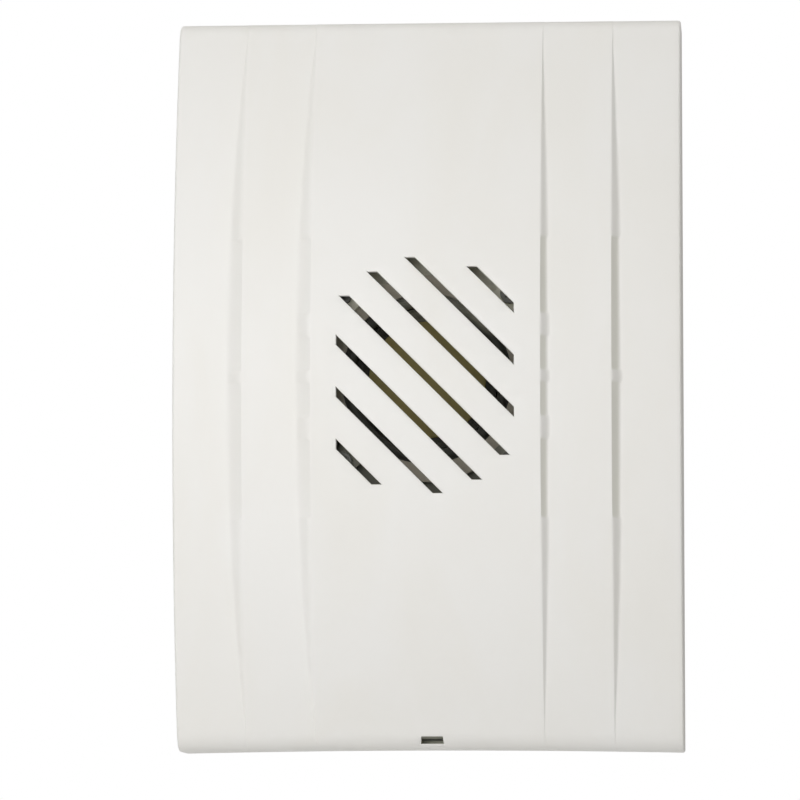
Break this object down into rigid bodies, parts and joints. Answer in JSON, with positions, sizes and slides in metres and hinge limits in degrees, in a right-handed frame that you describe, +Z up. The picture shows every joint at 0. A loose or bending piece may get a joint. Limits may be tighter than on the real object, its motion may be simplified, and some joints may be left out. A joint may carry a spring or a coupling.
{
  "type": "doorbell chime box",
  "caption": "Wall-hung electronic doorbell chime: white cover with bowed, stepped panels and slanted grille slots, hinged on a base with a loudspeaker, a circuit board and a transformer.",
  "frame": {"origin": "middle of the base's back face, on the wall", "axes": "+X right seen from the front, +Z up, +Y into the wall, so the front faces -Y"},
  "size_m": [0.13, 0.0436, 0.189],
  "materials": {
    "cover_white": "fine matte moulded white",
    "base_grey": "plain moulded light grey",
    "catch_grey": "moulded grey",
    "grommet_rubber": "soft black",
    "screw_steel": "zinc plated",
    "screw_dark": "blackened",
    "terminal_ivory": "translucent ivory",
    "terminal_brass": "turned, dull",
    "core_steel": "stacked sheet, varnished",
    "bobbin_nylon": "moulded, natural",
    "winding_tape": "yellow tape",
    "lead_mains": "brown and blue insulation",
    "lead_low_voltage": "red and black insulation",
    "board_green": "green lacquer with copper tracks",
    "capacitor_sleeve": "dark shrink sleeve",
    "component_black": "moulded epoxy",
    "resistor_beige": "lacquer with colour bands",
    "leg_tin": "tinned",
    "trimmer_blue": "moulded blue",
    "rotor_white": "moulded white",
    "basket_steel": "pressed sheet, zinc plated",
    "gasket_card": "grey-beige pressed card",
    "surround_black": "matte black",
    "cone_paper": "black pressed paper",
    "cap_film": "olive-brown film",
    "former_paper": "brown paper",
    "coil_copper": "enamelled copper wire",
    "spider_cloth": "resin-stiffened cloth",
    "plate_steel": "zinc plated",
    "magnet_ferrite": "sintered, dark grey",
    "tag_card": "brown laminate",
    "clip_grey": "moulded olive grey"
  },
  "bodies": {
    "base": {"base_plate": "base_grey", "mounting_posts": "base_grey", "speaker_posts": "base_grey", "speaker_baffle": "clip_grey", "cable_grommet": "grommet_rubber", "cable_clamp": "base_grey", "cable_clamp_screws": "screw_steel", "terminal_body": "terminal_ivory", "terminal_tubes": "terminal_brass", "terminal_screws": "screw_steel", "terminal_fixing_screw": "screw_steel", "transformer_core": "core_steel", "transformer_bobbin": "bobbin_nylon", "transformer_winding": "winding_tape", "transformer_screws": "screw_steel", "primary_leads": "lead_mains", "secondary_leads": "lead_low_voltage", "circuit_board": "board_green", "board_screws": "screw_steel", "smoothing_capacitor": "capacitor_sleeve", "coupling_capacitors": "capacitor_sleeve", "rectifier_diodes": "component_black", "resistors": "resistor_beige", "output_transistor": "component_black", "transistor_legs": "leg_tin", "melody_chip": "component_black", "chip_legs": "leg_tin", "volume_trimmer": "trimmer_blue", "speaker_basket": "basket_steel", "speaker_gasket": "gasket_card", "speaker_surround": "surround_black", "speaker_spider": "spider_cloth", "speaker_top_plate": "plate_steel", "speaker_magnet": "magnet_ferrite", "speaker_pole": "plate_steel", "speaker_tag_board": "tag_card", "speaker_tags": "terminal_brass", "speaker_leads": "lead_low_voltage", "speaker_clips": "clip_grey", "speaker_screws": "screw_dark"},
    "cover": {"front_cover": "cover_white"},
    "catch": {"release_catch": "catch_grey"},
    "diaphragm": {"speaker_cone": "cone_paper", "speaker_dust_cap": "cap_film", "coil_former": "former_paper", "voice_coil": "coil_copper"},
    "rotor": {"volume_rotor": "rotor_white"}
  },
  "joints": [
    {"name": "cover_hinge", "type": "hinge", "parent": "base", "child": "cover", "pos_m": [0, -0.0085, 0.0895], "axis": [-1, 0, 0], "range_deg": [0, 45], "deforming": ["release_catch"]},
    {"name": "catch_press", "type": "hinge", "parent": "base", "child": "catch", "pos_m": [0, -0.0041, -0.0877], "axis": [-1, 0, 0], "range_deg": [0, 8], "stiffness_Nm_per_rad": 0.3},
    {"name": "cone_stroke", "type": "slide", "parent": "base", "child": "diaphragm", "axis": [0, -1, 0], "range_m": [-0.0006, 0.0006], "stiffness_N_per_m": 800},
    {"name": "volume_turn", "type": "hinge", "parent": "base", "child": "rotor", "pos_m": [0.032, 0, -0.0525], "axis": [0, 1, 0], "range_deg": [-135, 135]}
  ]
}
